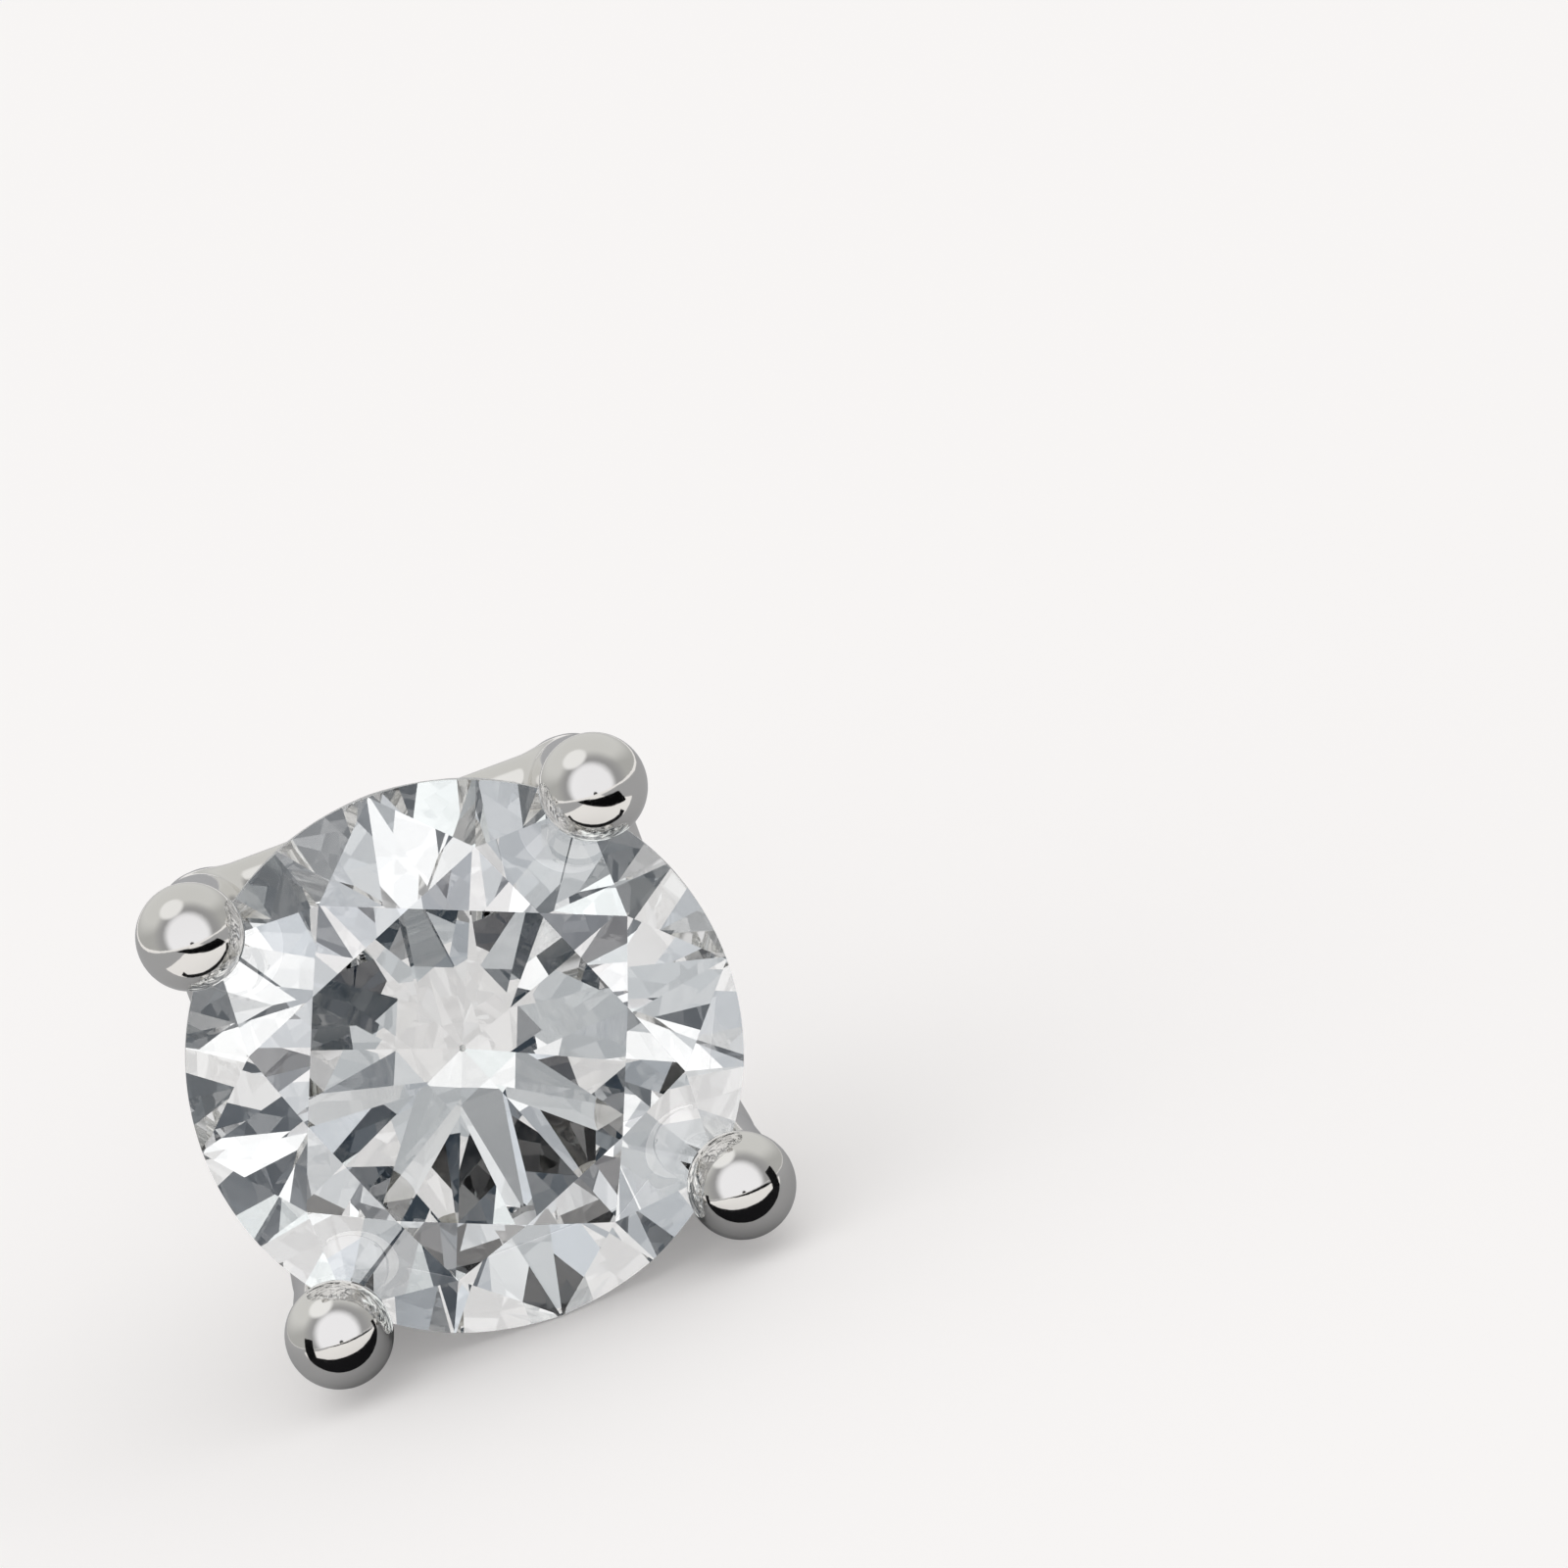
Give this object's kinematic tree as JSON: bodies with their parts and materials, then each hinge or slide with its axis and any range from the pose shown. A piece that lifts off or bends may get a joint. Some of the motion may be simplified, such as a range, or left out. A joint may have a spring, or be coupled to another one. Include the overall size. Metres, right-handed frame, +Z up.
{
  "type": "stud earring",
  "caption": "Stud earring lying on its side: a faceted round stone held by ball-tipped wire prongs, with a straight grooved ear post behind it.",
  "frame": {"origin": "on the surface that the stud lies on, under the middle of its box", "axes": "+Z up from the surface, +Y from the stone towards the tip of the post, +X to the right as the stone is looked at"},
  "size_m": [0.005, 0.015, 0.005],
  "materials": {
    "stone": "polished facets, colourless brilliant-cut diamond",
    "setting_metal": "mirror polished rhodium-plated white gold",
    "post_metal": "drawn and polished rhodium-plated white gold wire"
  },
  "bodies": {
    "root": {"stone": "stone", "setting": "setting_metal", "ear_post": "post_metal"}
  },
  "joints": []
}
